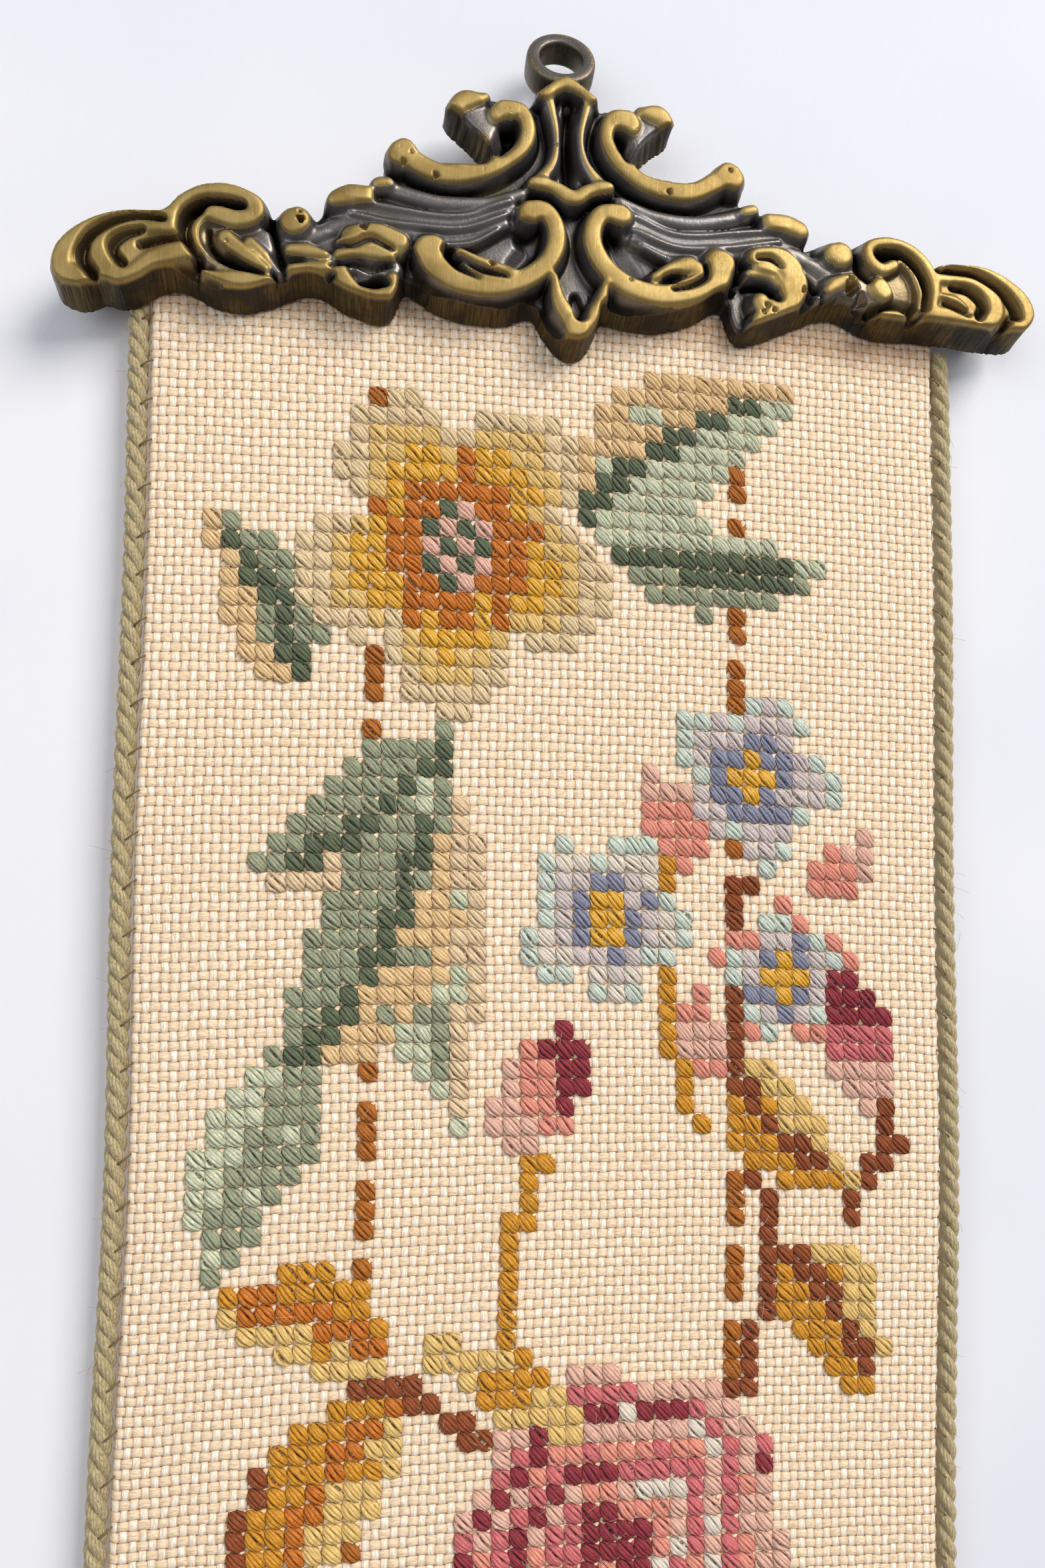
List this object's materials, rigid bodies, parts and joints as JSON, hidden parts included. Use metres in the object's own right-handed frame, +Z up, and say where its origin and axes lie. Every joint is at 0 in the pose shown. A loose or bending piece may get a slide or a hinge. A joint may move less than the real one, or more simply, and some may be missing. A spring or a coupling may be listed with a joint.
{
  "type": "embroidered bell pull panel with cast hanger",
  "caption": "Long narrow cross-stitched evenweave panel with corded sides, on a rod behind an ornate cast hanger that hangs from its ring.",
  "frame": {"origin": "point on the wall behind the hanger's ring, where the hook or nail goes in", "axes": "+Z up, the stitched front faces -Y, +Y into the wall"},
  "size_m": [0.2025, 0.0155, 0.898],
  "materials": {
    "brass": "aged, dark in the recesses and rubbed bright on the raised faces",
    "rod_metal": "plain drawn rod, dull",
    "canvas": "cream and peach evenweave cloth with wool cross stitch",
    "cord": "khaki twisted cord, slightly glossy"
  },
  "bodies": {
    "root": {"hanger": "brass", "rod": "rod_metal", "panel": "canvas", "cord_left": "cord", "cord_right": "cord"}
  },
  "joints": []
}
